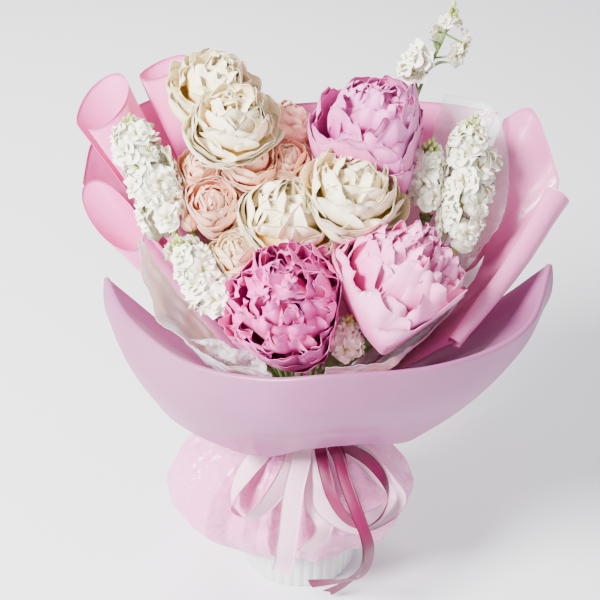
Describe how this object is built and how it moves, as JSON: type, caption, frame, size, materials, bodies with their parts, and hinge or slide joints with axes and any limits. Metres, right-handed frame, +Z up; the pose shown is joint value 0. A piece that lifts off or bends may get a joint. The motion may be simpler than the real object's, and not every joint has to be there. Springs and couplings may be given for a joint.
{
  "type": "bunch of peonies",
  "caption": "Bunch of double peonies, lisianthus, spray roses and stocks in pink film with satin ribbons, standing in a fluted glass vase.",
  "frame": {"origin": "centre of the underside of the vase foot", "axes": "+Z up, -Y towards the front with the folded collar and the ribbons, +X to the right seen from the front"},
  "size_m": [0.4819, 0.3225, 0.6051],
  "materials": {
    "vase_glass": "white and clear fluted glass",
    "water": "clear water",
    "stem_green": "living green stem",
    "stock_white": "soft white petal",
    "petal_cream": "soft cream petal",
    "petal_cool_pink": "soft cool pink petal",
    "petal_magenta_pink": "soft magenta-pink petal",
    "petal_pale_pink": "soft pale pink petal",
    "petal_beige": "soft beige petal",
    "petal_peach": "soft peach petal",
    "bud_peach_green": "peach bud in green sepals",
    "wrap_mauve_pink": "matte mauve-pink film",
    "wrap_film_pink": "soft satin pink film",
    "tissue_blush": "thin blush tissue paper",
    "cellophane_clear": "clear crinkled film",
    "ribbon_pale_satin": "pale pink satin ribbon",
    "ribbon_dark_satin": "dark rose satin ribbon"
  },
  "bodies": {
    "root": {"cellophane_front": "cellophane_clear", "cellophane_right": "cellophane_clear", "dark_curl": "ribbon_dark_satin", "dark_loop": "ribbon_dark_satin", "dark_tail": "ribbon_dark_satin", "lisianthus_1": "petal_cream", "lisianthus_2": "petal_cream", "lisianthus_3": "petal_cream", "lisianthus_4": "petal_cream", "lisianthus_stem_1": "stem_green", "lisianthus_stem_2": "stem_green", "lisianthus_stem_3": "stem_green", "lisianthus_stem_4": "stem_green", "pale_curl": "ribbon_pale_satin", "pale_loop_left": "ribbon_pale_satin", "pale_loop_right": "ribbon_pale_satin", "pale_tail": "ribbon_pale_satin", "peony_1": "petal_cool_pink", "peony_2": "petal_magenta_pink", "peony_3": "petal_pale_pink", "peony_stem_1": "stem_green", "peony_stem_2": "stem_green", "peony_stem_3": "stem_green", "ribbon_tie": "ribbon_pale_satin", "rose_bud": "bud_peach_green", "rose_stem_1": "stem_green", "rose_stem_2": "stem_green", "rose_stem_3": "stem_green", "skirt": "wrap_film_pink", "spray_rose_1": "petal_peach", "spray_rose_2": "petal_peach", "spray_rose_3": "petal_peach", "spray_rose_4": "petal_peach", "spray_rose_5": "petal_beige", "spray_rose_6": "petal_peach", "stock_1": "stock_white", "stock_2": "stock_white", "stock_3": "stock_white", "stock_4": "stock_white", "stock_5": "stock_white", "stock_6": "stock_white", "stock_7": "stock_white", "stock_stem_1": "stem_green", "stock_stem_2": "stem_green", "stock_stem_3": "stem_green", "stock_stem_5": "stem_green", "stock_stem_6": "stem_green", "stock_stem_7": "stem_green", "tissue_left": "tissue_blush", "tissue_right": "tissue_blush", "vase": "vase_glass", "water": "water", "wrap_back": "wrap_film_pink", "wrap_front": "wrap_mauve_pink", "wrap_left": "wrap_film_pink", "wrap_left_back": "wrap_film_pink", "wrap_left_front": "wrap_film_pink", "wrap_right": "wrap_film_pink"}
  },
  "joints": []
}
